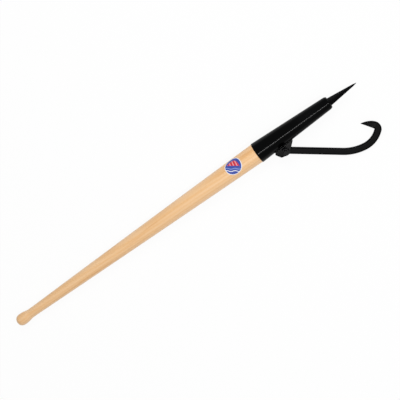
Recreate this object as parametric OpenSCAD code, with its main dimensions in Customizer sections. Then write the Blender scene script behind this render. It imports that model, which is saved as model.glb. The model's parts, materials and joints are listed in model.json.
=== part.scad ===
// Peavey: a log-turning lever. A turned hardwood handle is driven into a tapered steel socket,
// a square pike is driven into the end of the wood through the socket's nose plug,
// and a forged hook swings on a bolt between two ears welded to the socket.
//
// Every piece is drawn along the tool: x runs from the butt (0) to the point of the pike,
// the hook hangs on the -y side and z is across the plane that the hook swings in.
// laid() then turns the whole tool to the pose in which it lies on a floor.
// All sizes are in millimetres.

/* [Handle] */
// Length of the wooden handle, butt to the end that is hidden in the socket
handle_len = 1067; // [700:1:1600]
// Diameter of the handle where it meets the socket
handle_d = 57; // [54:0.5:59]
// How far the long taper bulges beyond a straight line, on the radius
taper_swell = 0.6; // [0:0.1:2]
// Diameter of the thin neck behind the knob
neck_d = 27.6; // [22:0.2:32]
// Length of the straight part of the neck
neck_len = 16; // [4:1:60]
// Diameter of the knob at the butt
knob_d = 35; // [32.5:0.5:50]
// Length of the knob, butt face to the neck
knob_len = 48; // [34:1:80]
// Distance from the butt face to the fattest place of the knob
knob_peak = 15; // [8:1:26]
// Diameter of the flat left by the lathe on the butt face
butt_flat_d = 14; // [6:1:22]
// How late the knob falls away to the neck, 1 is an even wave
knob_fall = 1.4; // [1:0.1:2]

/* [Socket] */
// Length of the steel socket
socket_len = 233; // [190:1:320]
// Outer diameter of the socket at its mouth
mouth_d = 60; // [59:0.5:64]
// Outer diameter of the socket at its nose
nose_d = 37.4; // [36:0.2:44]
// Wall of the socket
socket_wall = 2; // [1.8:0.1:2.2]
// Bevel on the outer edge of the mouth
mouth_bevel = 0.7; // [0.2:0.1:1.2]

/* [Nose plug] */
// Length of the plug inside the socket
plug_len = 24; // [12:1:36]
// Height of the dome that closes the nose round the pike
dome_h = 5.5; // [3:0.5:9]
// Diameter of the flat on top of the dome
dome_flat_d = 27; // [26.2:0.2:30]

/* [Pike] */
// Side of the square pike where it leaves the dome
pike_side = 17.5; // [14:0.5:18]
// Length of the pike outside the socket
pike_out = 92; // [60:1:160]
// Side of the pike where the last short point begins
pike_tip_side = 4; // [3:0.5:7]
// Length of the last short point
pike_tip_len = 9; // [4:1:20]
// Turn of the pike's faces about the tool
pike_turn = 28; // [0:1:44]
// Length of the tang inside the wood
tang_len = 84; // [40:1:120]
// Side of the tang at its shoulder
tang_side = 12.5; // [9:0.5:13.5]
// Side of the tang at its inner end
tang_end_side = 7; // [4:0.5:8.5]

/* [Clasp] */
// Distance from the socket's mouth to the hook bolt
pivot_from_mouth = 67; // [50:1:110]
// Thickness of each ear
ear_t = 7; // [5:0.5:9]
// Metal round the bolt hole of an ear
ear_wall = 6; // [4:0.5:8]
// Reach of an ear's foot from the bolt towards the pike
ear_front = 33; // [26:1:50]
// Distance from the bolt back to the middle of the ear's rounded heel
ear_heel = 24.5; // [20:0.5:34]
// Radius of the rounded heel
heel_r = 3.5; // [2:0.5:5]
// Distance from the bolt back to the ear's rounded shoulder
ear_shoulder = 14.5; // [8:0.5:18]
// Radius of the rounded shoulder
shoulder_r = 7; // [5:0.5:9]
// Radius of the weld bead along the foot of each ear
weld_r = 3.2; // [2:0.1:4.5]

/* [Hook] */
// Width of the hook bar in the plane it swings in
bar_w = 19; // [15:0.5:20]
// Thickness of the hook bar
bar_t = 12.7; // [10:0.1:16]
// Radius along the long edges of the bar
bar_edge = 3.2; // [1.5:0.1:4.5]
// Metal round the bolt hole of the hook
eye_wall = 4.8; // [4.4:0.1:8]
// Angle between the tool and the hook's shank as the tool lies
hook_open = 37.2; // [25:0.1:75]
// Straight part of the shank, bolt to bend
shank_len = 155; // [110:1:260]
// Centreline radius of the slow bend
slow_r = 120; // [80:1:200]
// Turn of the slow bend
slow_turn = 30; // [10:1:45]
// Centreline radius of the tight bend
tight_r = 64; // [45:1:90]
// Turn of the tight bend
tight_turn = 45; // [25:1:60]
// Straight part between the tight bend and the heel of the bill
heel_len = 5; // [1:0.5:20]
// Radius inside the corner under the bill
corner_r = 2.5; // [1:0.5:8]
// Turn from the shank's end into the bill
corner_turn = 87; // [60:1:100]
// Length of the bill, corner to point
bill_len = 38; // [24:1:60]
// Thickness of the bill at its point
bill_tip_t = 2.6; // [1.5:0.1:5]
// Depth of the bill at its point
bill_tip_w = 1.4; // [0.8:0.1:3]

/* [Hook bolt] */
// Diameter of the hook bolt
bolt_d = 12.7; // [10:0.1:14]
// Length of the bolt under its head
bolt_len = 50.8; // [44:0.1:60]
// Width across the flats of the bolt head and the nut
hex_af = 19.05; // [17:0.05:22]
// Height of the bolt head
head_h = 7.9; // [6:0.1:9]
// Height of the nut
nut_h = 11.1; // [8:0.1:13]
// Outer diameter of the flat washer
washer_d = 25.4; // [22:0.2:28]
// Thickness of the flat washer
washer_t = 2.4; // [1.5:0.1:3.5]
// Outer diameter of the lock washer
lock_d = 21.6; // [19:0.1:24]
// Thickness of the lock washer
lock_t = 3.1; // [2:0.1:4]
// Width of the split in the lock washer
lock_split = 2.2; // [1:0.1:4]

/* [Socket screw] */
// Distance from the socket's mouth to the retaining screw
screw_from_mouth = 28; // [15:1:45]
// Turn of the screw about the tool, away from the hook and the upper side
screw_turn = 45; // [20:1:60]
// Diameter of the screw's shank
screw_d = 8; // [5:0.5:10]
// Length of the screw under its head
screw_len = 38; // [20:1:48]
// Diameter of the screw's round head
screw_head_d = 15; // [11:0.5:18]
// Height of the screw's round head
screw_head_h = 4.5; // [3:0.5:6]

/* [Label] */
// Diameter of the round paper label before it is wrapped
label_d = 50; // [30:1:56]
// Thickness of the label
label_t = 0.15; // [0.1:0.05:0.4]
// Distance from the socket's mouth back to the middle of the label
label_from_mouth = 71; // [45:1:160]
// Turn of the label about the tool, from the upper side away from the hook
label_turn = 29; // [-60:1:90]

/* [Fits] */
// Radial gap of the bolt in the hook's eye and in the ears
running_gap = 0.08; // [0.03:0.01:0.1]
// Gap of parts that are driven or welded together
drive_gap = 0.05; // [0.03:0.01:0.1]
// Gap between the hook and each ear
side_gap = 0.3; // [0.2:0.05:0.6]
// Gap between the hook's eye and the socket
eye_gap = 0.8; // [0.5:0.1:2]
// Gap round the pike in the plug
pike_gap = 0.3; // [0.1:0.05:0.5]
// Gap between the end of the wood and the plug
end_gap = 2; // [1:0.5:6]
// Radial gap of the washers on the bolt
washer_gap = 0.4; // [0.2:0.05:0.8]

/* [Hidden] */
$fn = 96;

wood_colour = [0.90, 0.70, 0.47];
black_colour = [0.05, 0.05, 0.06];
bolt_colour = [0.10, 0.10, 0.11];
label_colour = [0.16, 0.18, 0.55];

// Radii and places along the tool
handle_r = handle_d / 2;
neck_r = neck_d / 2;
knob_r = knob_d / 2;
butt_r = butt_flat_d / 2;
mouth_r = mouth_d / 2;
nose_r = nose_d / 2;
bolt_r = bolt_d / 2;
taper_x = knob_len + neck_len;
mouth_x = handle_len + end_gap + plug_len - socket_len;
nose_x = mouth_x + socket_len;
plug_x = nose_x - plug_len;
point_x = nose_x + pike_out;
shoulder_x = mouth_x - drive_gap;

function mix(a, b, t) = a + (b - a) * t;
function socket_r(x) = mix(mouth_r, nose_r, (x - mouth_x) / socket_len);
function bore_r(x) = socket_r(x) - socket_wall;
function taper_r(x) = let (t = (x - taper_x) / (mouth_x - taper_x))
    mix(neck_r, handle_r, t) + 4 * taper_swell * t * (1 - t);

// Places of the hook bolt and of what is stacked on it
eye_hole_r = bolt_r + running_gap;
eye_r = eye_hole_r + eye_wall;
ear_r = eye_hole_r + ear_wall;
pivot_x = mouth_x + pivot_from_mouth;
pivot_out = socket_r(pivot_x) + eye_r + eye_gap;
ear_in_z = bar_t / 2 + side_gap;
ear_out_z = ear_in_z + ear_t;
head_z = -ear_out_z - drive_gap;
washer_z = ear_out_z + drive_gap;
lock_z = washer_z + washer_t + drive_gap;
nut_z = lock_z + lock_t + drive_gap;
washer_hole_r = bolt_r + washer_gap;

// Poses [x, y, heading] along the hook's centreline, from the bolt
function ahead(p, d) = [p[0] + d * cos(p[2]), p[1] + d * sin(p[2]), p[2]];
function bent(p, r, a) = [p[0] + r * (sin(p[2] + a) - sin(p[2])),
                          p[1] + r * (cos(p[2]) - cos(p[2] + a)), p[2] + a];
function aside(p, d) = [p[0] - d * sin(p[2]), p[1] + d * cos(p[2]), p[2]];
slow_pose = ahead([0, 0, 0], shank_len);
tight_pose = bent(slow_pose, slow_r, slow_turn);
heel_pose = bent(tight_pose, tight_r, tight_turn);
corner_pose = ahead(heel_pose, heel_len);
corner_mid_r = corner_r + bar_w / 2;
bill_pose = bent(corner_pose, corner_mid_r, corner_turn);

// Sections [x, y, heading, width, thickness] along the hook: the bill keeps a straight lower
// edge, and its back falls to the point as a parabola
bend_step = 3;
corner_steps = 10;
bill_steps = 10;
slow_steps = ceil(slow_turn / bend_step);
tight_steps = ceil(tight_turn / bend_step);
hook_start = 2;
function bar(p) = [p[0], p[1], p[2], bar_w, bar_t];
function bill(t) = let (w = mix(bar_w, bill_tip_w, t * t), p = ahead(bill_pose, bill_len * t),
    c = aside(p, (bar_w - w) / 2)) [c[0], c[1], c[2], w, mix(bar_t, bill_tip_t, pow(t, 1.2))];
hook_sections = concat(
    [bar([hook_start, 0, 0]), bar(slow_pose)],
    [for (i = [1:slow_steps]) bar(bent(slow_pose, slow_r, slow_turn * i / slow_steps))],
    [for (i = [1:tight_steps]) bar(bent(tight_pose, tight_r, tight_turn * i / tight_steps))],
    [bar(corner_pose)],
    [for (i = [1:corner_steps]) bar(bent(corner_pose, corner_mid_r, corner_turn * i / corner_steps))],
    [for (i = [1:bill_steps]) bill(i / bill_steps)]);

// Corner points of one section: a rectangle across the bar with rounded corners
edge_points = 4;
quadrants = [[1, 1], [-1, 1], [-1, -1], [1, -1]];
function section_ring(s) = let (e = min(bar_edge, s[3] * 0.45, s[4] * 0.45)) [
    for (q = [0:3], k = [0:edge_points - 1])
        let (a = 90 * q + 90 * k / (edge_points - 1),
             across = quadrants[q][0] * (s[3] / 2 - e) + e * cos(a),
             high = quadrants[q][1] * (s[4] / 2 - e) + e * sin(a),
             p = aside(s, across))
        [p[0], p[1], high]];
ring_size = 4 * edge_points;

// Pose of the tool on a floor: the knob and the rim of the mouth touch it, and the tool rolls
// about its own axis until the first place of the hook touches it too
pitch = atan((mouth_r - knob_r) / (mouth_x - knob_peak));
axis_z = knob_r * cos(pitch) - knob_peak * sin(pitch);
function on_tool(p) = [pivot_x + p[0] * cos(hook_open) + p[1] * sin(hook_open),
                       -pivot_out - p[0] * sin(hook_open) + p[1] * cos(hook_open)];
function touch_roll(s) = let (e = min(bar_edge, s[3] * 0.45, s[4] * 0.45),
    p = on_tool(aside(s, e - s[3] / 2)), out = -p[1], half = s[4] / 2 - e,
    room = (axis_z + p[0] * sin(pitch)) / cos(pitch) - e)
    asin(min(1, room / norm([out, half]))) - atan2(half, out);
roll = min([for (s = hook_sections) touch_roll(s)]);
hook_reach = max([for (s = hook_sections) -on_tool(aside(s, -s[3] / 2))[1]]);
mid_x = point_x * cos(pitch) / 2;
mid_y = (mouth_r - hook_reach * cos(roll)) / 2;

module laid() {
    translate([-mid_x, -mid_y, axis_z]) rotate([0, -pitch, 0]) rotate([roll, 0, 0]) children();
}

module along_x(x) {
    translate([x, 0, 0]) rotate([0, 90, 0]) children();
}

module at_pivot(z) {
    translate([pivot_x, -pivot_out, z]) children();
}

// The square taper that the tang of the pike fills in the wood, grown by the fit's gap
module tang_hole() {
    inner = tang_end_side + 2 * drive_gap;
    outer = tang_side + 2 * drive_gap;
    along_x(handle_len + drive_gap) rotate([180, 0, pike_turn])
        linear_extrude(height = tang_len + drive_gap, scale = inner / outer)
            square(outer, center = true);
}

// A radial direction for the screw: away from the hook and from the upper side.
// Its head sits on the high side of the taper
module at_screw(r) {
    translate([mouth_x + screw_from_mouth, 0, 0]) rotate([180 + screw_turn, 0, 0])
        translate([0, 0, r]) children();
}
screw_seat_r = socket_r(mouth_x + screw_from_mouth - screw_head_d / 2) + 2 * drive_gap;

// Turned handle: rounded butt, knob, neck, long taper, shoulder and the cone in the socket
knob_steps = 8;
taper_steps = 12;
module handle() {
    fall_len = knob_len - knob_peak;
    profile = concat(
        [[0, 0]],
        [for (i = [0:knob_steps]) let (a = 90 * i / knob_steps)
            [butt_r + (knob_r - butt_r) * sin(a), knob_peak * (1 - cos(a))]],
        [for (i = [1:knob_steps]) let (t = i / knob_steps)
            [mix(neck_r, knob_r, (1 + cos(180 * pow(t, knob_fall))) / 2), knob_peak + fall_len * t]],
        [for (i = [0:taper_steps]) let (x = mix(taper_x, shoulder_x, i / taper_steps)) [taper_r(x), x]],
        [[bore_r(shoulder_x) - drive_gap, shoulder_x],
         [bore_r(handle_len) - drive_gap, handle_len], [0, handle_len]]);
    color(wood_colour) laid() difference() {
        along_x(0) rotate_extrude() polygon(profile);
        tang_hole();
        at_screw(screw_seat_r - screw_len - drive_gap)
            cylinder(r = screw_d / 2 + drive_gap, h = screw_len + handle_r);
    }
}

// Round paper label, cut from a thin shell that follows the handle
module label() {
    label_x = mouth_x - label_from_mouth;
    wrap_r = taper_r(label_x);
    half = label_d / 2;
    cut = [for (a = [0:6:354]) [half * cos(a), wrap_r * sin(half * sin(a) / wrap_r * 180 / PI)]];
    low = label_x - half - 1;
    high = label_x + half + 1;
    color(label_colour) laid() intersection() {
        along_x(0) rotate_extrude() polygon([
            [taper_r(low) + drive_gap, low], [taper_r(low) + drive_gap + label_t, low],
            [taper_r(high) + drive_gap + label_t, high], [taper_r(high) + drive_gap, high]]);
        translate([label_x, 0, 0]) rotate([-label_turn, 0, 0])
            linear_extrude(height = handle_d) polygon(cut);
    }
}

// Tapered steel tube that carries the handle, the plug and the ears
module socket() {
    color(black_colour) laid() difference() {
        along_x(mouth_x) rotate_extrude() polygon([
            [mouth_r - socket_wall, 0], [mouth_r - mouth_bevel, 0], [mouth_r, mouth_bevel],
            [nose_r, socket_len], [nose_r - socket_wall, socket_len]]);
        at_screw(mouth_r / 2) cylinder(r = screw_d / 2 + 4 * drive_gap, h = mouth_r);
    }
}

// Plug driven into the nose: a cone inside, a dome outside, and a square hole for the pike
dome_steps = 6;
module nose_plug() {
    dome_r = nose_r - mouth_bevel;
    dome_top_r = dome_flat_d / 2;
    color(black_colour) laid() difference() {
        along_x(0) rotate_extrude() polygon(concat(
            [[0, plug_x], [bore_r(plug_x) - drive_gap, plug_x],
             [bore_r(nose_x) - drive_gap, nose_x + drive_gap]],
            [for (i = [0:dome_steps]) let (a = 90 * i / dome_steps)
                [mix(dome_top_r, dome_r, cos(a)), nose_x + drive_gap + dome_h * sin(a)]],
            [[0, nose_x + drive_gap + dome_h]]));
        along_x(plug_x - 1) rotate([0, 0, pike_turn])
            translate([0, 0, plug_len / 2 + dome_h]) cube([pike_side + 2 * pike_gap,
                pike_side + 2 * pike_gap, plug_len + 4 * dome_h], center = true);
    }
}

// Square forged pike: tang, straight shank through the plug, long taper and a short point
// It is a skin over square sections [x, side], from the inner end of the tang to the point
module pike() {
    shank_x = handle_len + drive_gap;
    sections = [[shank_x - tang_len, tang_end_side], [shank_x, tang_side], [shank_x, pike_side],
                [nose_x + dome_h, pike_side], [point_x - pike_tip_len, pike_tip_side],
                [point_x, pike_tip_side / 5]];
    last = 4 * (len(sections) - 1);
    sides = [for (i = [0:len(sections) - 2], k = [0:3])
        let (a = 4 * i + k, b = 4 * i + (k + 1) % 4) [a, a + 4, b + 4, b]];
    color(black_colour) laid() rotate([pike_turn, 0, 0]) polyhedron(
        points = [for (s = sections, q = quadrants) [s[0], q[0] * s[1] / 2, q[1] * s[1] / 2]],
        faces = concat([[0, 1, 2, 3]], sides, [[last + 3, last + 2, last + 1, last]]));
}

// Where the straight line touches two circles [x, y, r] that a belt runs round, on its outer side
function belt(a, b) = let (d = [b[0] - a[0], b[1] - a[1]], n = atan2(d[1], d[0]) + 90,
    lean = asin((b[2] - a[2]) / norm(d)), w = n + lean)
    [[a[0] + a[2] * cos(w), a[1] + a[2] * sin(w)], [b[0] + b[2] * cos(w), b[1] + b[2] * sin(w)]];

// Flat outline of an ear, measured from the bolt, away from the tool being +y
function socket_drop(x) = pivot_out - socket_r(pivot_x + x);
module ear_outline() {
    heel = [-ear_heel, heel_r + 0.6 - socket_drop(-ear_heel), heel_r];
    shoulder = [-ear_shoulder, ear_r - shoulder_r - 2.5, shoulder_r];
    round = [0, 0, ear_r];
    foot = [ear_front, 1 - socket_drop(ear_front), 0.01];
    root_y = -pivot_out + socket_r(pivot_x) * 0.6;
    polygon(concat([[heel[0], root_y], [heel[0], heel[1]]], belt(heel, shoulder),
        belt(shoulder, round), belt(round, foot), [[ear_front, root_y]]));
    for (c = [heel, shoulder, round]) translate([c[0], c[1]]) circle(r = c[2]);
}

// One ear with the weld bead along its foot, on the upper side of the hook. The bead stays
// clear of the flat washer
module ear() {
    bead_back = pivot_x - ear_heel;
    bead_front = pivot_x + ear_front;
    function foot_y(x) = -sqrt(pow(socket_r(x), 2) - pow(ear_out_z, 2));
    bead_run = [bead_front - bead_back, foot_y(bead_front) - foot_y(bead_back)];
    bead_r = min(weld_r, pivot_out + foot_y(pivot_x) - washer_d / 2 - washer_gap);
    difference() {
        union() {
            at_pivot(ear_in_z) mirror([0, 1, 0]) linear_extrude(height = ear_t) ear_outline();
            translate([bead_back, foot_y(bead_back), ear_out_z])
                rotate([0, 0, atan2(bead_run[1], bead_run[0])]) rotate([0, 90, 0]) {
                    cylinder(r = bead_r, h = norm(bead_run));
                    sphere(r = bead_r);
                    translate([0, 0, norm(bead_run)]) sphere(r = bead_r);
                }
        }
        along_x(mouth_x) cylinder(r1 = mouth_r + drive_gap, r2 = nose_r + drive_gap, h = socket_len);
        at_pivot(0) cylinder(r = eye_hole_r, h = 2 * ear_out_z);
    }
}

module ear_upper() {
    color(black_colour) laid() ear();
}

module ear_lower() {
    color(black_colour) laid() mirror([0, 0, 1]) ear();
}

// Forged hook: an eye on the bolt, a straight shank, two bends and a bill that ends in a point
module hook() {
    rings = [for (s = hook_sections) section_ring(s)];
    count = len(rings);
    sides = [for (i = [0:count - 2], k = [0:ring_size - 1])
        let (a = i * ring_size + k, b = i * ring_size + (k + 1) % ring_size)
        each [[a, b + ring_size, b], [a, a + ring_size, b + ring_size]]];
    ends = [[for (k = [0:ring_size - 1]) k],
            [for (k = [ring_size - 1:-1:0]) (count - 1) * ring_size + k]];
    bevel = 1.2;
    color(black_colour) laid() at_pivot(0) rotate([0, 0, -hook_open]) difference() {
        union() {
            polyhedron(points = [for (r = rings) each r], faces = concat(sides, ends));
            rotate_extrude() polygon([[0, -bar_t / 2], [eye_r - bevel, -bar_t / 2],
                [eye_r, bevel - bar_t / 2], [eye_r, bar_t / 2 - bevel],
                [eye_r - bevel, bar_t / 2], [0, bar_t / 2]]);
        }
        cylinder(r = eye_hole_r, h = 2 * bar_t, center = true);
    }
}

// Hexagon with its upper corners rounded off, standing on z = 0
module hexagon(height) {
    corner = hex_af / 2 / cos(30);
    intersection() {
        cylinder(r = corner, h = height, $fn = 6);
        cylinder(r1 = corner + height * 1.7, r2 = hex_af / 2 * 0.97, h = height);
    }
}

// Hex bolt, its head on the lower ear
module hook_bolt() {
    color(bolt_colour) laid() {
        at_pivot(head_z) {
            mirror([0, 0, 1]) hexagon(head_h);
            cylinder(r = bolt_r, h = bolt_len - 1);
            translate([0, 0, bolt_len - 1]) cylinder(r1 = bolt_r, r2 = bolt_r - 1, h = 1);
        }
    }
}

module washer(radius, thickness) {
    difference() {
        cylinder(r = radius, h = thickness);
        translate([0, 0, -thickness]) cylinder(r = washer_hole_r, h = 3 * thickness);
    }
}

// Flat washer on the upper ear
module flat_washer() {
    color(bolt_colour) laid() at_pivot(washer_z) washer(washer_d / 2, washer_t);
}

// Split lock washer under the nut
module lock_washer() {
    color(bolt_colour) laid() at_pivot(lock_z) difference() {
        washer(lock_d / 2, lock_t);
        translate([lock_d / 2, 0, lock_t / 2]) rotate([25, 0, 0])
            cube([lock_d, lock_split, 4 * lock_t], center = true);
    }
}

// Hex nut on the end of the bolt
module hook_nut() {
    color(bolt_colour) laid() at_pivot(nut_z) difference() {
        hexagon(nut_h);
        translate([0, 0, -nut_h]) cylinder(r = bolt_r + drive_gap, h = 3 * nut_h);
    }
}

// Round-headed screw that keeps the handle in the socket, on the side away from the hook
module socket_screw() {
    ball_r = (pow(screw_head_d / 2, 2) + pow(screw_head_h, 2)) / (2 * screw_head_h);
    color(bolt_colour) laid() at_screw(screw_seat_r) {
        intersection() {
            translate([0, 0, screw_head_h - ball_r]) sphere(r = ball_r);
            cylinder(r = screw_head_d, h = screw_head_d);
        }
        translate([0, 0, -screw_len + screw_d / 2]) cylinder(r = screw_d / 2, h = screw_len - screw_d / 2);
        translate([0, 0, -screw_len]) cylinder(r1 = screw_d / 8, r2 = screw_d / 2, h = screw_d / 2);
    }
}

handle();
label();
socket();
nose_plug();
pike();
ear_upper();
ear_lower();
hook();
hook_bolt();
flat_washer();
lock_washer();
hook_nut();
socket_screw();
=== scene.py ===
# %% [markdown]
# # Dressing a peavey in Blender
# A peavey is a logger's lever: a long wooden handle in a steel socket, a pike in its nose and a
# hook that swings on a bolt. The frame gives every piece its size and place. This lesson adds
# smooth meshes and painted, forged and lacquered finishes, and never moves what the frame holds.

# %% Load the frame
import json
from math import atan2, cos, pi, radians, sin, sqrt
import bmesh
import bpy
from mathutils import Matrix, Vector


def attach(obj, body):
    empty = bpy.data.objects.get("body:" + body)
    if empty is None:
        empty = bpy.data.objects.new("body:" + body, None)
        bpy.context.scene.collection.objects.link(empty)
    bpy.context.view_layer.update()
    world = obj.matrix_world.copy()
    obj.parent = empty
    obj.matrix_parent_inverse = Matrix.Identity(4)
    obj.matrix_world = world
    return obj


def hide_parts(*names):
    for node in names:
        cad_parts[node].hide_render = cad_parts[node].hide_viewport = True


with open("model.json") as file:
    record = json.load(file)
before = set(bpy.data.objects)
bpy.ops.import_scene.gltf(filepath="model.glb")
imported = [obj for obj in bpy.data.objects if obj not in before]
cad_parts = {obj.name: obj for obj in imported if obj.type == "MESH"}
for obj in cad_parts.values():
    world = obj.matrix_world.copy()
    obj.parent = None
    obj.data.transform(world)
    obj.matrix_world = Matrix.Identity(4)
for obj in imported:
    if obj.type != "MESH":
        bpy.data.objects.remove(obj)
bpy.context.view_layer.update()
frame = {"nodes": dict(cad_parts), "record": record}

print("nodes:", sorted(frame["nodes"]))

# %% [markdown]
# The tool lies tilted on the floor, so each piece is drawn straight along a tool axis and then
# laid down by one matrix, which also turns millimetres into metres. The frame's record holds that
# axis: it runs from the flat of the butt to the point of the pike, and the hinge of the hook is
# square to it.

# %% The tool's own axes
MM = 0.001
mounts = {m["name"]: m for m in frame["record"]["mounts"]}
hinge = frame["record"]["behaviour"]["joints"][0]
butt = Vector(mounts["butt_end"]["pos_m"])
point = Vector(mounts["pike_point"]["pos_m"])
along = (point - butt).normalized()
across = Vector(hinge["axis"]).cross(along).normalized()
upward = along.cross(across)


def placed(where, x_axis, y_axis, z_axis):
    """The matrix that stands three axes at a place"""
    return Matrix.Translation(where) @ Matrix((x_axis, y_axis, z_axis)).transposed().to_4x4()


laid = placed(butt, along, across, upward) @ Matrix.Scale(MM, 4)
unlaid = laid.inverted()
tool_pivot = unlaid @ Vector(hinge["pos_m"])
tool_len = (point - butt).length / MM
print("tool length %.1f mm, hook bolt at %.1f, %.1f mm" % (tool_len, tool_pivot.x, tool_pivot.y))

# %% [markdown]
# The handle runs into the socket, so the sizes and the tapers of both come first. They are the
# frame's, in millimetres, and lengths run from the butt. The wood ends inside the socket, just
# behind the plug that closes its nose.

# %% Sizes of the handle and the socket
HANDLE_LEN = 1067
HANDLE_R = 28.5
TAPER_SWELL = 0.6
NECK_R = 13.8
NECK_LEN = 16
KNOB_LEN = 48
SOCKET_LEN = 233
MOUTH_R = 30
NOSE_R = 18.7
SOCKET_WALL = 2
PLUG_LEN = 24
END_GAP = 2
FIT = 0.05
taper_x = KNOB_LEN + NECK_LEN
mouth_x = HANDLE_LEN + END_GAP + PLUG_LEN - SOCKET_LEN
nose_x = mouth_x + SOCKET_LEN


def mix(a, b, t):
    return a + (b - a) * t


def socket_r(x):
    return mix(MOUTH_R, NOSE_R, (x - mouth_x) / SOCKET_LEN)


def taper_r(x):
    """The wood's taper, which swells a little halfway"""
    t = (x - taper_x) / (mouth_x - taper_x)
    return mix(NECK_R, HANDLE_R, t) + 4 * TAPER_SWELL * t * (1 - t)


print("mouth at %d mm, nose at %d mm" % (mouth_x, nose_x))

# %% [markdown]
# Shader maths reads best as plain sums. This class wraps a socket, and each operator adds one
# Math node. One more method makes any other node: its settings go in first, then its inputs.


# %% A socket that can be used in sums
class Field:
    def __init__(self, tree, socket):
        self.tree = tree
        self.socket = socket

    def node(self, kind, settings=None, inputs=None, out=0):
        """Any node: its settings first, then a value or a link for each of its sockets"""
        made = self.tree.nodes.new(kind)
        for name, value in (settings or {}).items():
            setattr(made, name, value)
        for name, value in (inputs or {}).items():
            if isinstance(value, Field):
                self.tree.links.new(value.socket, made.inputs[name])
            else:
                made.inputs[name].default_value = value
        return Field(self.tree, made.outputs[out])

    def math(self, operation, *others):
        """A Math node on this value and any others"""
        return self.node("ShaderNodeMath", {"operation": operation}, dict(enumerate((self, *others))))

    def __add__(self, other):
        return self.math("ADD", other)

    def __sub__(self, other):
        return self.math("SUBTRACT", other)

    def __rsub__(self, other):
        return self.node("ShaderNodeMath", {"operation": "SUBTRACT"}, {0: other, 1: self})

    def __mul__(self, other):
        return self.math("MULTIPLY", other)

    __radd__ = __add__
    __rmul__ = __mul__

    def parts(self):
        """The three numbers of a vector"""
        split = self.node("ShaderNodeSeparateXYZ", None, {0: self}).socket.node
        return [Field(self.tree, socket) for socket in split.outputs]

    def step(self, edge, soft):
        """0 below the edge and 1 above it, over a soft band"""
        return self.node("ShaderNodeMapRange", {"interpolation_type": "SMOOTHSTEP"},
                         {0: self, 1: edge - soft, 2: edge + soft, 3: 0.0, 4: 1.0})

    def blend(self, low, high):
        """A colour between two colours, with this value as the factor"""
        return self.node("ShaderNodeMix", {"data_type": "RGBA"}, {0: self, 6: low, 7: high}, 2)

    def stretched(self, x, y, z):
        return self.node("ShaderNodeMapping", None, {0: self, 3: (x, y, z)})

    def noise(self, scale, detail):
        return self.node("ShaderNodeTexNoise", None, {"Vector": self, "Scale": scale, "Detail": detail})


print("besides its operators, a Field has:", [name for name in vars(Field) if "__" not in name])

# %% [markdown]
# Each finish is one Principled shader. What is the same all over a surface is set on the shader's
# own sockets, and what changes over it comes in through a link. The patterns start from Object
# coordinates, which need no unwrapping and have no seam.


# %% Finish helpers
def material(name, source="Object", **fixed):
    """A new material, its shader, and the coordinates that its patterns start from"""
    made = bpy.data.materials.new(name)
    made.use_nodes = True
    tree = made.node_tree
    shader = tree.nodes["Principled BSDF"]
    for socket, value in fixed.items():
        shader.inputs[socket.replace("_", " ")].default_value = value
    start = Field(tree, tree.nodes.new("ShaderNodeTexCoord").outputs[source])
    return made, shader, start


def feed(shader, socket, value):
    value.tree.links.new(value.socket, shader.inputs[socket])


def bump(shader, height, depth, strength):
    inputs = {"Height": height, "Distance": depth, "Strength": strength}
    feed(shader, "Normal", height.node("ShaderNodeBump", None, inputs))


print("finish helpers are ready")

# %% [markdown]
# The handle is clear-lacquered hardwood. Its growth rings are cylinders round a heart that lies
# beside the tool, so the turned surface cuts them in long streaks. A Wave texture could draw the
# rings, but in sums the heart's place is two plain numbers. Fine pores are noise that is stretched
# along the tool. A thin coat gives the lacquer's highlight.

# %% Lacquered wood
PALE = (0.86, 0.57, 0.32, 1)
RICH = (0.80, 0.47, 0.21, 1)
AMBER = (0.70, 0.36, 0.13, 1)
HEART_ASIDE = 0.055
HEART_BELOW = 0.03
RING_RATE = 900
RING_WANDER = 0.02
WANDER_STRETCH = (1.2, 9, 9)
PORE_STRETCH = (5, 260, 260)
STREAK_STRETCH = (1.4, 30, 30)
RING_SHARE = 0.30
PORE_SHARE = 0.45
STREAK_SHARE = 0.45
PORE_DEPTH = 0.0002
wood, shader, place = material("lacquered_wood", Coat_Weight=0.35, Coat_Roughness=0.22, IOR=1.45)
_, wood_y, wood_z = place.parts()
ring_y = wood_y - (butt.y - HEART_ASIDE)
ring_z = wood_z + HEART_BELOW
heart = (ring_y * ring_y + ring_z * ring_z).math("SQRT")
wander = place.stretched(*WANDER_STRETCH).noise(1.6, 2)
rings = ((heart + wander * RING_WANDER) * RING_RATE).math("SINE") * 0.5 + 0.5
pores = place.stretched(*PORE_STRETCH).noise(3.2, 4)
streak = place.stretched(*STREAK_STRETCH).noise(2.1, 3)
tone = rings * RING_SHARE + pores * PORE_SHARE + streak * STREAK_SHARE
base = tone.step(0.62, 0.42).blend(PALE, RICH)
feed(shader, "Base Color", streak.step(0.69, 0.09).blend(base, AMBER))
feed(shader, "Roughness", pores * 0.14 + 0.27)
bump(shader, pores, PORE_DEPTH, 0.25)
print("wood nodes:", len(wood.node_tree.nodes))

# %% [markdown]
# The steel is black all over. The socket is sprayed gloss, with a faint orange peel. The pike and
# the hook are forged, so their paint lies over a duller skin. The bolt, its washers, its nut and
# the screw are a little greyer. One function serves all three: the gloss is the least roughness,
# the grain says how fine the skin is, and the depth is in metres.

# %% Black steel
CLOUD_SCALE = 14
SKIN_STRENGTH = 0.6


def black_steel(name, colour, gloss, grain, depth, shine):
    made, shader, place = material(name, IOR=1.45, Specular_IOR_Level=shine)
    skin = place.noise(grain, 4)
    cloud = place.noise(CLOUD_SCALE, 3)
    dusty = tuple(c * 2 + 0.001 for c in colour)
    feed(shader, "Base Color", cloud.step(0.56, 0.16).blend((*colour, 1), (*dusty, 1)))
    feed(shader, "Roughness", skin * 0.12 + cloud * 0.10 + gloss)
    bump(shader, skin, depth, SKIN_STRENGTH)
    return made


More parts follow.
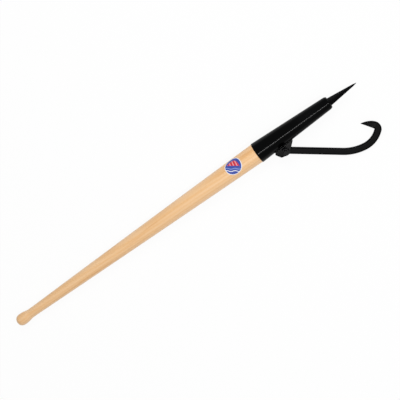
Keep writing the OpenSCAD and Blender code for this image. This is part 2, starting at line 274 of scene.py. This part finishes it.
gloss_black = black_steel("gloss_black_paint", (0.0008, 0.0009, 0.001),
                          gloss=0.05, grain=40, depth=0.00003, shine=0.10)
forged_black = black_steel("black_over_forging", (0.001, 0.001, 0.0013),
                           gloss=0.24, grain=60, depth=0.00008, shine=0.06)
bolt_black = black_steel("black_fasteners", (0.002, 0.002, 0.0025),
                         gloss=0.18, grain=300, depth=0.00005, shine=0.10)
print("steel finishes:", gloss_black.name, forged_black.name, bolt_black.name)

# %% [markdown]
# The sticker is blue with a white rim, and its own UV map runs from -1 to 1 across it. The print
# is generic: a red hill over two pale waves, with a painted highlight of slanting pink stripes on
# the hill. Each motif is a mask, worked out from sums on U and V, and the masks are laid over the
# blue one after another.

# %% Label print
WHITE = (0.86, 0.86, 0.88, 1)
BLUE = (0.045, 0.075, 0.36, 1)
RED = (0.60, 0.03, 0.05, 1)
SKY = (0.22, 0.30, 0.62, 1)
HIGHLIGHT_PINK = (0.80, 0.35, 0.38, 1)
HILL_TOP = 0.62
HILL_FALL = 1.1
GLINT_SLANT = 0.6
GLINT_RATE = 16
WAVE_RATE = 7
WAVE_HEIGHT = 0.05
WAVE_EDGE = 0.02
RIM_START = 0.93
print_film, shader, place = material("label_print", "UV", Roughness=0.30, IOR=1.45)
u, v, _ = place.parts()
wave = (u * WAVE_RATE).math("SINE") * WAVE_HEIGHT


def wave_band(low, half_width):
    return 1 - (v + low - wave).math("ABSOLUTE").step(half_width, WAVE_EDGE)


hill = (HILL_TOP - u * u * HILL_FALL - v).step(0.0, 0.03) * v.step(0.02, 0.03)
# The slanting pink stripes on the red hill are a painted highlight.
painted_highlights = hill * ((u + v * GLINT_SLANT) * GLINT_RATE).math("SINE").step(0.55, 0.2)
design = hill.blend(BLUE, RED)
design = painted_highlights.blend(design, HIGHLIGHT_PINK)
design = wave_band(0.30, 0.05).blend(design, SKY)
design = wave_band(0.56, 0.04).blend(design, WHITE)
rim = (u * u + v * v).math("SQRT").step(RIM_START, 0.015)
feed(shader, "Base Color", rim.blend(design, WHITE))
print("label nodes:", len(print_film.node_tree.nodes))

# %% [markdown]
# Most pieces are turned on a lathe or swept along a path. Both are a skin over rings of points, so
# one helper makes the skin and another lays it down. Spin and Screw could turn a profile too, but
# rings worked out in Python can follow any rule. Points are in tool millimetres, and the finished
# object stays at the origin.

# %% Mesh helpers
SHARP_EDGE = 35
MERGE = 1e-7


def shade(mesh, sharp=SHARP_EDGE):
    mesh.shade_smooth()
    mesh.set_sharp_from_angle(angle=radians(sharp))


def new_object(name, data):
    made = bpy.data.objects.new(name, data)
    bpy.context.scene.collection.objects.link(made)
    return made


def finish_piece(name, points, faces, finish, sharp=SHARP_EDGE, place=laid):
    """A piece made of points and faces, laid down, with its faces turned outwards"""
    mesh = bpy.data.meshes.new(name)
    mesh.from_pydata([place @ Vector(p) for p in points], [], faces)
    shape = bmesh.new()
    shape.from_mesh(mesh)
    bmesh.ops.remove_doubles(shape, verts=shape.verts, dist=MERGE)
    bmesh.ops.recalc_face_normals(shape, faces=shape.faces)
    shape.to_mesh(mesh)
    shape.free()
    shade(mesh, sharp)
    mesh.materials.append(finish)
    return new_object(name, mesh)


def skin(rings, closed_ends=True):
    """Points and faces of a skin over rings of equal size, with flat ends"""
    size = len(rings[0])
    points = [p for ring in rings for p in ring]
    faces = []
    for i in range(len(rings) - 1):
        for k in range(size):
            a = i * size + k
            b = i * size + (k + 1) % size
            faces.append((a, b, b + size, a + size))
    if closed_ends:
        faces.append(tuple(range(size)))
        faces.append(tuple(range(len(points) - size, len(points))))
    return points, faces


def turned(profile, sides=96, closed_ends=True):
    """A lathe: profile points (x, r) spun round the tool's axis"""
    angles = [2 * pi * k / sides for k in range(sides)]
    return skin([[(x, r * cos(a), r * sin(a)) for a in angles] for x, r in profile], closed_ends)


print("faces of a short turned bar:", len(turned([(0, 1), (1, 1)])[1]))

# %% [markdown]
# Three more helpers finish a piece. The first turns its modifiers into a plain mesh, and the
# second uses that to cut one piece with another. The third hands a piece over: it ties it to the
# body that it moves with and hides the node that it stands for.


# %% Cut and hand over
def bake(piece):
    """Gives the piece the mesh that its modifiers make, and drops them"""
    graph = bpy.context.evaluated_depsgraph_get()
    mesh = bpy.data.meshes.new_from_object(piece.evaluated_get(graph))
    piece.modifiers.clear()
    piece.data = mesh
    return mesh


def cut(piece, cutter):
    """Cuts one piece with another, and throws the cutter away"""
    knife = piece.modifiers.new("cut", "BOOLEAN")
    knife.object = cutter
    knife.solver = "EXACT"
    shade(bake(piece))
    bpy.data.objects.remove(cutter)


def dress(piece, node, body="tool"):
    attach(piece, body)
    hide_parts(node)
    print(piece.name, "triangles:", sum(len(p.vertices) - 2 for p in piece.data.polygons))


print("cutting and dressing are ready")

# %% [markdown]
# The handle is one turning: a rounded butt with the lathe's small flat, a knob, a neck, a long
# taper that swells a little, and the cone that is driven into the socket. Its profile is a rule,
# so loops can sample it as finely as the eye needs.

# %% Handle
BUTT_R = 7
KNOB_R = 17.5
KNOB_PEAK = 15
KNOB_FALL = 1.4
BUTT_STEPS = 24
KNOB_STEPS = 32
TAPER_STEPS = 80


def handle_profile():
    profile = []
    for i in range(BUTT_STEPS + 1):
        a = pi / 2 * i / BUTT_STEPS
        profile.append((KNOB_PEAK * (1 - cos(a)), BUTT_R + (KNOB_R - BUTT_R) * sin(a)))
    for i in range(1, KNOB_STEPS + 1):
        t = i / KNOB_STEPS
        profile.append((mix(KNOB_PEAK, KNOB_LEN, t),
                        mix(NECK_R, KNOB_R, (1 + cos(pi * t ** KNOB_FALL)) / 2)))
    for i in range(TAPER_STEPS + 1):
        x = mix(taper_x, mouth_x - FIT, i / TAPER_STEPS)
        profile.append((x, taper_r(x)))
    profile.append((mouth_x - FIT, socket_r(mouth_x) - SOCKET_WALL - FIT))
    profile.append((HANDLE_LEN, socket_r(HANDLE_LEN) - SOCKET_WALL - FIT))
    return profile


handle = finish_piece("wooden_handle", *turned(handle_profile()), wood, sharp=40)
dress(handle, "handle")

# %% [markdown]
# The socket is a steel cone with a rounded edge at its mouth. A Solidify modifier could give it a
# wall, but a profile that runs up the outside and back down the bore keeps both true. It closes
# on itself, so the skin needs no end faces.

# %% Socket
MOUTH_BEVEL = 0.7
BEVEL_STEPS = 6
CONE_STEPS = 40
SOCKET_SIDES = 128
socket_profile = [(mouth_x, MOUTH_R - SOCKET_WALL)]
for i in range(BEVEL_STEPS + 1):
    a = pi / 2 * i / BEVEL_STEPS
    socket_profile.append((mouth_x + MOUTH_BEVEL * (1 - cos(a)), MOUTH_R - MOUTH_BEVEL * (1 - sin(a))))
for i in range(1, CONE_STEPS + 1):
    x = mix(mouth_x + MOUTH_BEVEL, nose_x, i / CONE_STEPS)
    socket_profile.append((x, socket_r(x)))
socket_profile.append((nose_x, NOSE_R - SOCKET_WALL))
socket_profile.append((mouth_x, MOUTH_R - SOCKET_WALL))
socket = finish_piece("steel_socket", *turned(socket_profile, SOCKET_SIDES, closed_ends=False),
                      gloss_black)
dress(socket, "socket")

# %% [markdown]
# The pike is square, so its rings are squares with eased corners, turned about the tool. Rings a
# little larger, with nearly sharp corners, make the cutter for the hole that it passes through.

# %% Square rings
PIKE_TURN = radians(28)
PIKE_ROUNDING = 0.12
CORNER_POINTS = 5


def square_ring(x, side, rounding=PIKE_ROUNDING):
    """A square across the tool, with its corners rounded by a share of its side"""
    edge = side * rounding
    mid = (side / 2 - edge) * sqrt(2)
    ring = []
    for corner in range(4):
        c = pi / 2 * corner + pi / 4
        for k in range(CORNER_POINTS):
            a = pi / 2 * (corner + k / (CORNER_POINTS - 1))
            y = mid * cos(c) + edge * cos(a)
            z = mid * sin(c) + edge * sin(a)
            ring.append((x, y * cos(PIKE_TURN) - z * sin(PIKE_TURN),
                         y * sin(PIKE_TURN) + z * cos(PIKE_TURN)))
    return ring


print("points in a ring:", len(square_ring(0, 1)))

# %% [markdown]
# The nose of the socket is closed by a plug. Its cone is driven into the socket, and its dome
# shows round the pike. Round rings and a square hole share no corners, so the plug is turned
# whole and the hole is cut through it. The cutter reaches past both of its ends.

# %% Nose plug
DOME_H = 5.5
DOME_TOP_R = 13.5
DOME_STEPS = 16
PIKE_SIDE = 17.5
PIKE_GAP = 0.3
HOLE_ROUNDING = 0.01
HOLE_BACK = 9
HOLE_AHEAD = 19
plug_x = nose_x - PLUG_LEN
plug_profile = [(plug_x, socket_r(plug_x) - SOCKET_WALL - FIT),
                (nose_x + FIT, NOSE_R - SOCKET_WALL - FIT)]
for i in range(DOME_STEPS + 1):
    a = pi / 2 * i / DOME_STEPS
    plug_profile.append((nose_x + FIT + DOME_H * sin(a), mix(DOME_TOP_R, NOSE_R - MOUTH_BEVEL, cos(a))))
plug = finish_piece("domed_nose_plug", *turned(plug_profile), gloss_black)
hole_side = PIKE_SIDE + 2 * PIKE_GAP
hole = [square_ring(x, hole_side, HOLE_ROUNDING) for x in (plug_x - HOLE_BACK, nose_x + HOLE_AHEAD)]
cut(plug, finish_piece("hole", *skin(hole), gloss_black))
dress(plug, "nose_plug")

# %% [markdown]
# The pike is one square forging. It runs straight through the plug, then draws down in a long
# taper to a short blunt point. Its corners stay a little rounded, as a hammer leaves them, and
# more so at the point. A scaled cube would have the outline, but not those corners. The real pike
# also has a tang inside the wood, which never shows and is left out here.

# %% Pike
PIKE_TIP_SIDE = 4
PIKE_TIP_LEN = 9
PIKE_END_SIDE = 0.8
PIKE_END_ROUNDING = 0.4
DRAW_STEPS = 40
TIP_STEPS = 6
draw_x = nose_x + DOME_H
tip_x = tool_len - PIKE_TIP_LEN
pike_rings = [square_ring(HANDLE_LEN + FIT, PIKE_SIDE)]
for i in range(DRAW_STEPS + 1):
    t = i / DRAW_STEPS
    pike_rings.append(square_ring(mix(draw_x, tip_x, t), mix(PIKE_SIDE, PIKE_TIP_SIDE, t)))
for i in range(1, TIP_STEPS + 1):
    t = i / TIP_STEPS
    pike_rings.append(square_ring(mix(tip_x, tool_len, t), mix(PIKE_TIP_SIDE, PIKE_END_SIDE, t),
                                  mix(PIKE_ROUNDING, PIKE_END_ROUNDING, t)))
pike = finish_piece("square_pike", *skin(pike_rings), forged_black, sharp=30)
dress(pike, "pike")

# %% [markdown]
# The hook follows a flat path from the bolt: a straight shank, a slow bend, a tight bend, a sharp
# corner and a bill. A bend is a radius and a turn in degrees. Each place on the path is a point
# and a heading, and three small steps walk along it. A bevelled curve could sweep the bar too,
# but its taper works evenly, and the bill narrows from its back alone.

# %% Hook path
BAR_START = 2
SHANK_LEN = 155
SLOW = (120, 30)
TIGHT = (64, 45)
HEEL_LEN = 5
CORNER = (12, 87)
SHANK_STEPS = 40
BEND_STEPS = 20
CORNER_STEPS = 16


def ahead(p, d):
    return (p[0] + d * cos(radians(p[2])), p[1] + d * sin(radians(p[2])), p[2])


def bent(p, r, a):
    h = radians(p[2])
    e = radians(p[2] + a)
    return (p[0] + r * (sin(e) - sin(h)), p[1] + r * (cos(h) - cos(e)), p[2] + a)


def aside(p, d):
    return (p[0] - d * sin(radians(p[2])), p[1] + d * cos(radians(p[2])), p[2])


def round_bend(start, bend, steps):
    r, a = bend
    return [bent(start, r, a * i / steps) for i in range(1, steps + 1)]


slow_pose = ahead((0, 0, 0), SHANK_LEN)
tight_pose = bent(slow_pose, *SLOW)
heel_pose = bent(tight_pose, *TIGHT)
corner_pose = ahead(heel_pose, HEEL_LEN)
bill_pose = bent(corner_pose, *CORNER)
bar_path = [ahead((BAR_START, 0, 0), (SHANK_LEN - BAR_START) * i / SHANK_STEPS)
            for i in range(SHANK_STEPS + 1)]
bar_path += round_bend(slow_pose, SLOW, BEND_STEPS) + round_bend(tight_pose, TIGHT, BEND_STEPS)
bar_path += [ahead(heel_pose, HEEL_LEN / 2), corner_pose]
bar_path += round_bend(corner_pose, CORNER, CORNER_STEPS)
print("places along the bar:", len(bar_path))

# %% [markdown]
# The bar keeps one section up to the bill, and its edges are eased a little more than the
# frame's. Along the bill the inner edge stays straight while the back falls to the point as a
# parabola, so the section narrows and its middle moves aside.

# %% Hook sections
BAR_W = 19
BAR_T = 12.7
BAR_EDGE = 3.6
EDGE_SHARE = 0.45
EDGE_POINTS = 6
BILL_LEN = 38
BILL_TIP_T = 2.6
BILL_TIP_W = 1.4
BILL_THINNING = 1.2
BILL_STEPS = 24
QUADRANTS = ((1, 1), (-1, 1), (-1, -1), (1, -1))
sections = [(p, BAR_W, BAR_T) for p in bar_path]
for i in range(1, BILL_STEPS + 1):
    t = i / BILL_STEPS
    wide = mix(BAR_W, BILL_TIP_W, t * t)
    bill_middle = aside(ahead(bill_pose, BILL_LEN * t), (BAR_W - wide) / 2)
    sections.append((bill_middle, wide, mix(BAR_T, BILL_TIP_T, t ** BILL_THINNING)))


def bar_ring(p, wide, thick):
    """A rectangle across the path, with eased corners"""
    edge = min(BAR_EDGE, wide * EDGE_SHARE, thick * EDGE_SHARE)
    ring = []
    for q, (sx, sy) in enumerate(QUADRANTS):
        for k in range(EDGE_POINTS):
            a = pi / 2 * (q + k / (EDGE_POINTS - 1))
            x, y, _ = aside(p, sx * (wide / 2 - edge) + edge * cos(a))
            ring.append((x, y, sy * (thick / 2 - edge) + edge * sin(a)))
    return ring


bar_points, bar_faces = skin([bar_ring(*s) for s in sections])
print("hook sections:", len(sections))

# %% [markdown]
# The eye goes round the bolt, with a small bevel on both faces. It is turned as a closed skin of
# its own, and the end of the bar lies inside it.

# %% Eye of the hook
EYE_R = 11.23
EYE_BEVEL = 1.2
EYE_HOLE_R = 6.43
EYE_SIDES = 64
BORE_REACH = 12


def turned_on_bolt(profile):
    """A lathe round the bolt: profile points (z, r)"""
    angles = [2 * pi * k / EYE_SIDES for k in range(EYE_SIDES)]
    return skin([[(r * cos(a), r * sin(a), z) for a in angles] for z, r in profile])


half = BAR_T / 2
eye_points, eye_faces = turned_on_bolt([(-half, EYE_R - EYE_BEVEL), (EYE_BEVEL - half, EYE_R),
                                        (half - EYE_BEVEL, EYE_R), (half, EYE_R - EYE_BEVEL)])
eye_faces = [tuple(i + len(bar_points) for i in face) for face in eye_faces]
bore = turned_on_bolt([(-BORE_REACH, EYE_HOLE_R), (BORE_REACH, EYE_HOLE_R)])
print("eye points:", len(eye_points))

# %% [markdown]
# On the real hook, bar and eye are one forging. A Boolean would join them with a hard line, so a
# voxel remesh welds them and a little smoothing rounds the root of the eye. The bolt's hole is cut
# last, so that it stays true.

# %% Hook
HOOK_OPEN = radians(37.2)
VOXEL = 0.9 * MM
EASE_STRENGTH = 0.5
EASE_TURNS = 2
hook_place = laid @ Matrix.Translation(tool_pivot) @ Matrix.Rotation(-HOOK_OPEN, 4, "Z")
hook = finish_piece("forged_hook", bar_points + eye_points, bar_faces + eye_faces, forged_black,
                    place=hook_place)
weld = hook.modifiers.new("weld", "REMESH")
weld.mode = "VOXEL"
weld.voxel_size = VOXEL
ease = hook.modifiers.new("ease", "SMOOTH")
ease.factor = EASE_STRENGTH
ease.iterations = EASE_TURNS
bake(hook)
cut(hook, finish_piece("bore", *bore, forged_black, place=hook_place))
dress(hook, "hook", "hook")

# %% [markdown]
# The sticker is wrapped on the taper. Its mesh is a round grid whose points take the handle's
# radius at their own place, so it follows the wood all over, with a hair of thickness. Shrinkwrap
# could lay it down as well, but the taper is a formula, so the exact place is as easy. Two last
# rings turn its edge under, and the middle of its back, which never shows, is one flat face.

# %% Label
LABEL_R = 25
LABEL_T = 0.15
LABEL_BACK = 71
LABEL_TURN = radians(29)
LABEL_RINGS = 20
LABEL_SIDES = 96
CENTRE_RING = 0.02
label_x = mouth_x - LABEL_BACK
wrap_r = taper_r(label_x)


def label_ring(r, lift):
    ring = []
    for k in range(LABEL_SIDES):
        a = 2 * pi * k / LABEL_SIDES
        x = label_x + r * cos(a)
        turn = LABEL_TURN - r * sin(a) / wrap_r
        out = taper_r(x) + lift
        ring.append((x, out * sin(turn), out * cos(turn)))
    return ring


label_rings = [label_ring(LABEL_R * max(i, CENTRE_RING) / LABEL_RINGS, FIT + LABEL_T)
               for i in range(LABEL_RINGS + 1)]
label_rings.append(label_ring(LABEL_R, FIT))
label_rings.append(label_ring(LABEL_R / 2, FIT))
label = finish_piece("round_label", *skin(label_rings), print_film, sharp=60)
print("label middle at %d mm, wrapped on a radius of %.1f mm" % (label_x, wrap_r))

# %% [markdown]
# The print needs flat coordinates. Each corner of the mesh is taken back to the tool's own axes,
# unrolled from the wood, and turned so that the design stands upright in the picture. Unwrapping
# could find flat coordinates too, but not which way up the design stands.

# %% Label coordinates
PRINT_TURN = radians(35)
uv = label.data.uv_layers.new(name="print")
for loop in label.data.loops:
    p = unlaid @ label.data.vertices[loop.vertex_index].co
    long_way = p.x - label_x
    round_way = wrap_r * (atan2(p.y, p.z) - LABEL_TURN)
    uv.data[loop.index].uv = ((long_way * cos(PRINT_TURN) - round_way * sin(PRINT_TURN)) / LABEL_R,
                              (long_way * sin(PRINT_TURN) + round_way * cos(PRINT_TURN)) / LABEL_R)
dress(label, "label")

# %% [markdown]
# The ears, the bolt, its washers, its nut and the screw have their right shape in the frame, so
# they stay and only get their paint.

# %% Finishes of the kept nodes
KEPT = {"ear_upper": gloss_black, "ear_lower": gloss_black, "hook_bolt": bolt_black,
        "flat_washer": bolt_black, "lock_washer": bolt_black, "hook_nut": bolt_black,
        "socket_screw": bolt_black}
for name, finish in KEPT.items():
    node = frame["nodes"][name]
    node.data.materials.clear()
    node.data.materials.append(finish)
print("kept nodes:", len(KEPT))

# %% [markdown]
# A welder lays a bead in small overlapping ripples. A bump map could fake them, but not on the
# outline. Geometry Nodes repeats one flattened ball along a line, with named inputs for its size,
# its step and its paint, so that one tree serves both ears.

# %% Ripple tree
BEAD_R = 2.75
BEAD_STEP = 1.9
BEAD_FLAT = 0.62
BALL_DETAIL = 3


def ripple_tree():
    tree = bpy.data.node_groups.new("weld_ripples", "GeometryNodeTree")
    interface = tree.interface
    interface.new_socket("Geometry", in_out="INPUT", socket_type="NodeSocketGeometry")
    for title, value in (("Bead radius", BEAD_R * MM), ("Step", BEAD_STEP * MM)):
        size = interface.new_socket(title, in_out="INPUT", socket_type="NodeSocketFloat")
        size.default_value = value
    interface.new_socket("Paint", in_out="INPUT", socket_type="NodeSocketMaterial")
    interface.new_socket("Geometry", in_out="OUTPUT", socket_type="NodeSocketGeometry")
    start = tree.nodes.new("NodeGroupInput")
    path, bead, step, paint = (Field(tree, start.outputs[i]) for i in range(4))
    curve = path.node("GeometryNodeMeshToCurve", None, {0: path})
    spots = curve.node("GeometryNodeResampleCurve", {"mode": "LENGTH"}, {"Curve": curve, "Length": step})
    ball = bead.node("GeometryNodeMeshIcoSphere", None, {"Radius": bead, "Subdivisions": BALL_DETAIL})
    row = spots.node("GeometryNodeInstanceOnPoints", None,
                     {"Points": spots, "Instance": ball, "Scale": (BEAD_FLAT, 1.0, 1.0)})
    real = row.node("GeometryNodeRealizeInstances", None, {0: row})
    painted = real.node("GeometryNodeSetMaterial", None, {"Geometry": real, "Material": paint})
    tree.links.new(painted.socket, tree.nodes.new("NodeGroupOutput").inputs[0])
    return tree


ripples = ripple_tree()
print("ripple tree nodes:", len(ripples.nodes))

# %% [markdown]
# Each bead follows the foot of its ear, where the ear's outer face meets the cone of the socket.
# The line stops a little short of the ear's ends, so that the last ripple stays on them.

# %% Weld ripples
EAR_OUT = 13.65
EAR_BACK = 24.5
EAR_FRONT = 33
END_MARGIN = 1
foot_ends = (tool_pivot.x - EAR_BACK + END_MARGIN, tool_pivot.x + EAR_FRONT - END_MARGIN)
for name, side in (("weld_upper", 1), ("weld_lower", -1)):
    line = bpy.data.meshes.new(name)
    line.from_pydata([laid @ Vector((x, -sqrt(socket_r(x) ** 2 - EAR_OUT ** 2), side * EAR_OUT))
                      for x in foot_ends], [(0, 1)], [])
    bead = new_object(name, line)
    maker = bead.modifiers.new("ripples", "NODES")
    maker.node_group = ripples
    maker[ripples.interface.items_tree["Paint"].identifier] = gloss_black
    bake(bead).shade_smooth()
    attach(bead, "tool")
    print(name, "triangles:", len(bead.data.polygons))

# %% [markdown]
# The camera stands above the tool. The pike's end is tilted a little towards it, and the tool
# climbs to the right. The values were fitted to the tool's two ends in a picture of 400 by 400
# pixels. AIM is how far the tool's middle lies from the lens's line, in millimetres to the right
# and up.

# %% Camera
TILT = radians(12)
TURN = radians(35.248)
DISTANCE = 2600
AIM = (-57.54, -22.52)
FOCAL_PX = 930.476
FRAME_PX = 400
SENSOR = 36
floor_y = Vector((0, 1, 0))
over = along.cross(floor_y).normalized()
cam_x = cos(TILT) * cos(TURN) * along - sin(TURN) * floor_y - sin(TILT) * cos(TURN) * over
cam_y = cos(TILT) * sin(TURN) * along + cos(TURN) * floor_y - sin(TILT) * sin(TURN) * over
cam_z = sin(TILT) * along + cos(TILT) * over
middle = (butt + point) / 2
spot = middle + MM * (DISTANCE * cam_z - AIM[0] * cam_x - AIM[1] * cam_y)
lens = bpy.data.cameras.new("camera")
lens.sensor_width = SENSOR
lens.lens = FOCAL_PX * SENSOR / FRAME_PX
camera = new_object("camera", lens)
camera.matrix_world = placed(spot, cam_x, cam_y, cam_z)
bpy.context.scene.camera = camera
print("camera at", [round(c, 3) for c in spot])

# %% [markdown]
# The floor is pale. The camera sees it almost white, and reflections see a smaller share of that
# white. What is left of the mix is a matt surface, which keeps a faint shadow. More light would
# whiten the floor too, but it would wash out the object.

# %% Floor
FLOOR_REACH = 12
WHITE_SEEN = 0.93
WHITE_REFLECTED = 0.4
bpy.context.scene.view_settings.view_transform = "Standard"
floor_mesh = bpy.data.meshes.new("floor")
floor_mesh.from_pydata([(x * FLOOR_REACH, y * FLOOR_REACH, 0)
                        for x, y in ((-1, -1), (1, -1), (1, 1), (-1, 1))], [], [(0, 1, 2, 3)])
floor = new_object("floor", floor_mesh)
floor_paint, shader, place = material("floor_paint", Base_Color=(0.85, 0.85, 0.85, 1), Roughness=0.9)
tree = floor_paint.node_tree
rays = tree.nodes.new("ShaderNodeLightPath")
camera_ray, glossy_ray, through_ray = (Field(tree, rays.outputs[kind]) for kind in
                                       ("Is Camera Ray", "Is Glossy Ray", "Is Transmission Ray"))
glow = place.node("ShaderNodeEmission", None, {"Color": (1, 1, 1, 1), "Strength": 1.0})
share = (camera_ray + through_ray) * WHITE_SEEN + glossy_ray * WHITE_REFLECTED
matt = Field(tree, shader.outputs[0])
mixed = share.node("ShaderNodeMixShader", None, {0: share, 1: matt, 2: glow})
tree.links.new(mixed.socket, tree.nodes["Material Output"].inputs[0])
floor_mesh.materials.append(floor_paint)
print("floor reaches %d m each way" % FLOOR_REACH)

# %% [markdown]
# A plain pale world fills the shadows. Two broad lamps light the tool without showing in its
# gloss, and one long narrow lamp draws the thin highlight along the socket. Each lamp is placed
# from the tool's middle, in metres to the right, up and towards the camera.

# %% Lamps
WORLD_STRENGTH = 0.40
world = bpy.context.scene.world or bpy.data.worlds.new("world")
bpy.context.scene.world = world
world.use_nodes = True
pale_sky = world.node_tree.nodes["Background"]
pale_sky.inputs["Color"].default_value = (1, 1, 1, 1)
pale_sky.inputs["Strength"].default_value = WORLD_STRENGTH


def lamp(name, offset, power, width, length=None):
    """An area lamp that faces the tool's middle, with its length along the tool"""
    light = bpy.data.lights.new(name, "AREA")
    light.energy = power
    light.size = width
    if length:
        light.shape = "RECTANGLE"
        light.size_y = length
    where = middle + offset[0] * cam_x + offset[1] * cam_y + offset[2] * cam_z
    facing = (where - middle).normalized()
    long_way = (along - along.dot(facing) * facing).normalized()
    made = new_object(name, light)
    made.matrix_world = placed(where, long_way.cross(facing), long_way, facing)
    return made


lamp("key", offset=(-0.5, 1.3, 2.4), power=31, width=1.4).visible_glossy = False
lamp("fill", offset=(1.2, -1.4, 2.2), power=10, width=1.8).visible_glossy = False
lamp("strip", offset=(0.5, -0.5, 2.5), power=21, width=0.045, length=1.4)
print("lamps:", [light.name for light in bpy.data.lights])

# %% [markdown]
# The visual model has to stay inside the frame's box.
